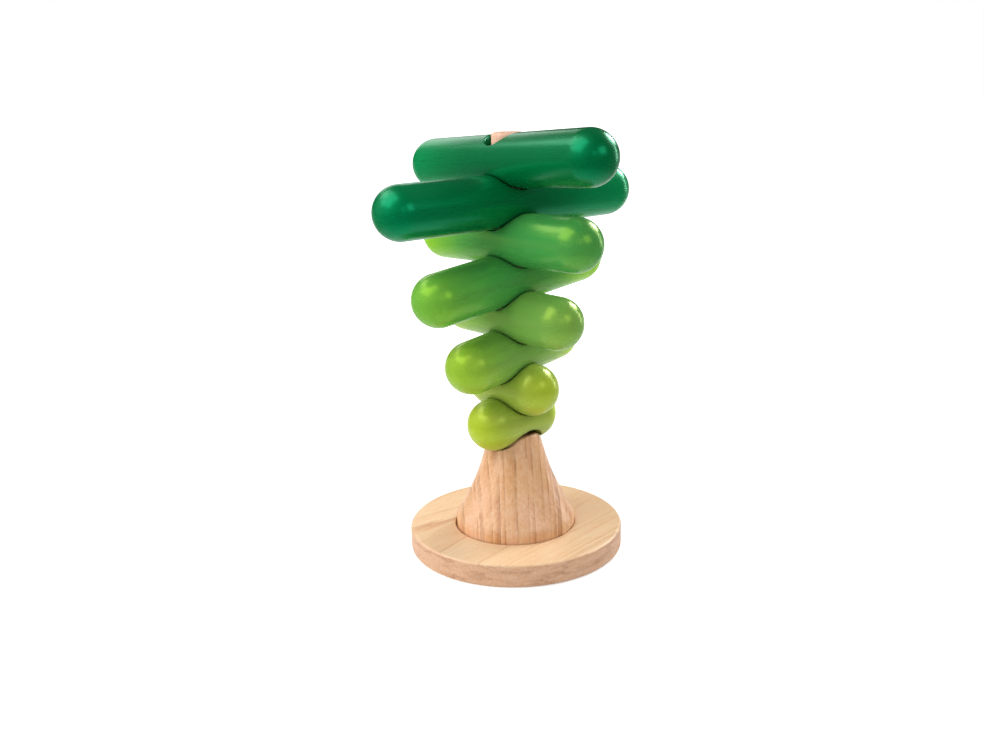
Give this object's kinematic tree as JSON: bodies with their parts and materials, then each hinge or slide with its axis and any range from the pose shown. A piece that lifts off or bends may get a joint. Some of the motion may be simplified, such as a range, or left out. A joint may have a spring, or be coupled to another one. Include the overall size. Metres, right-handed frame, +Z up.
{
  "type": "stacking tree toy",
  "caption": "Wooden stacking toy: a turned trunk on a round base carries a rod, and crossed round branches with saddles nest on it and lift off one above the other.",
  "frame": {"origin": "centre of the underside of the base disc", "axes": "+Z up along the rod, +X to the right and +Y away from a viewer who sees the crossed branches at about 45 degrees on each side"},
  "size_m": [0.1252, 0.1252, 0.2165],
  "materials": {
    "disc_wood": "pale hardwood, clear satin lacquer",
    "trunk_wood": "turned hardwood, clear satin lacquer",
    "rod_wood": "sanded hardwood dowel",
    "lime_lacquer": "lime green lacquer over hardwood, satin gloss",
    "apple_lacquer": "apple green lacquer over hardwood, satin gloss",
    "leaf_lacquer": "mid green lacquer over hardwood, satin gloss",
    "pine_lacquer": "dark green lacquer over hardwood, satin gloss"
  },
  "bodies": {
    "stand": {"base_disc": "disc_wood", "trunk": "trunk_wood", "centre_rod": "rod_wood"},
    "lift_1": {"branch_1": "lime_lacquer"},
    "lift_2": {"branch_2": "lime_lacquer"},
    "lift_3": {"branch_3": "apple_lacquer"},
    "lift_4": {"branch_4": "apple_lacquer"},
    "lift_5": {"branch_5": "leaf_lacquer"},
    "lift_6": {"branch_6": "leaf_lacquer"},
    "lift_7": {"branch_7": "pine_lacquer"},
    "lift_8": {"branch_8": "pine_lacquer"}
  },
  "joints": [
    {"name": "branch_1_lift", "type": "slide", "parent": "stand", "child": "lift_1", "axis": [0, 0, 1], "range_m": [0, 0.164]},
    {"name": "branch_2_lift", "type": "slide", "parent": "lift_1", "child": "lift_2", "axis": [0, 0, 1], "range_m": [0, 0.146]},
    {"name": "branch_3_lift", "type": "slide", "parent": "lift_2", "child": "lift_3", "axis": [0, 0, 1], "range_m": [0, 0.129]},
    {"name": "branch_4_lift", "type": "slide", "parent": "lift_3", "child": "lift_4", "axis": [0, 0, 1], "range_m": [0, 0.109]},
    {"name": "branch_5_lift", "type": "slide", "parent": "lift_4", "child": "lift_5", "axis": [0, 0, 1], "range_m": [0, 0.091]},
    {"name": "branch_6_lift", "type": "slide", "parent": "lift_5", "child": "lift_6", "axis": [0, 0, 1], "range_m": [0, 0.072]},
    {"name": "branch_7_lift", "type": "slide", "parent": "lift_6", "child": "lift_7", "axis": [0, 0, 1], "range_m": [0, 0.053]},
    {"name": "branch_8_lift", "type": "slide", "parent": "lift_7", "child": "lift_8", "axis": [0, 0, 1], "range_m": [0, 0.034]}
  ]
}
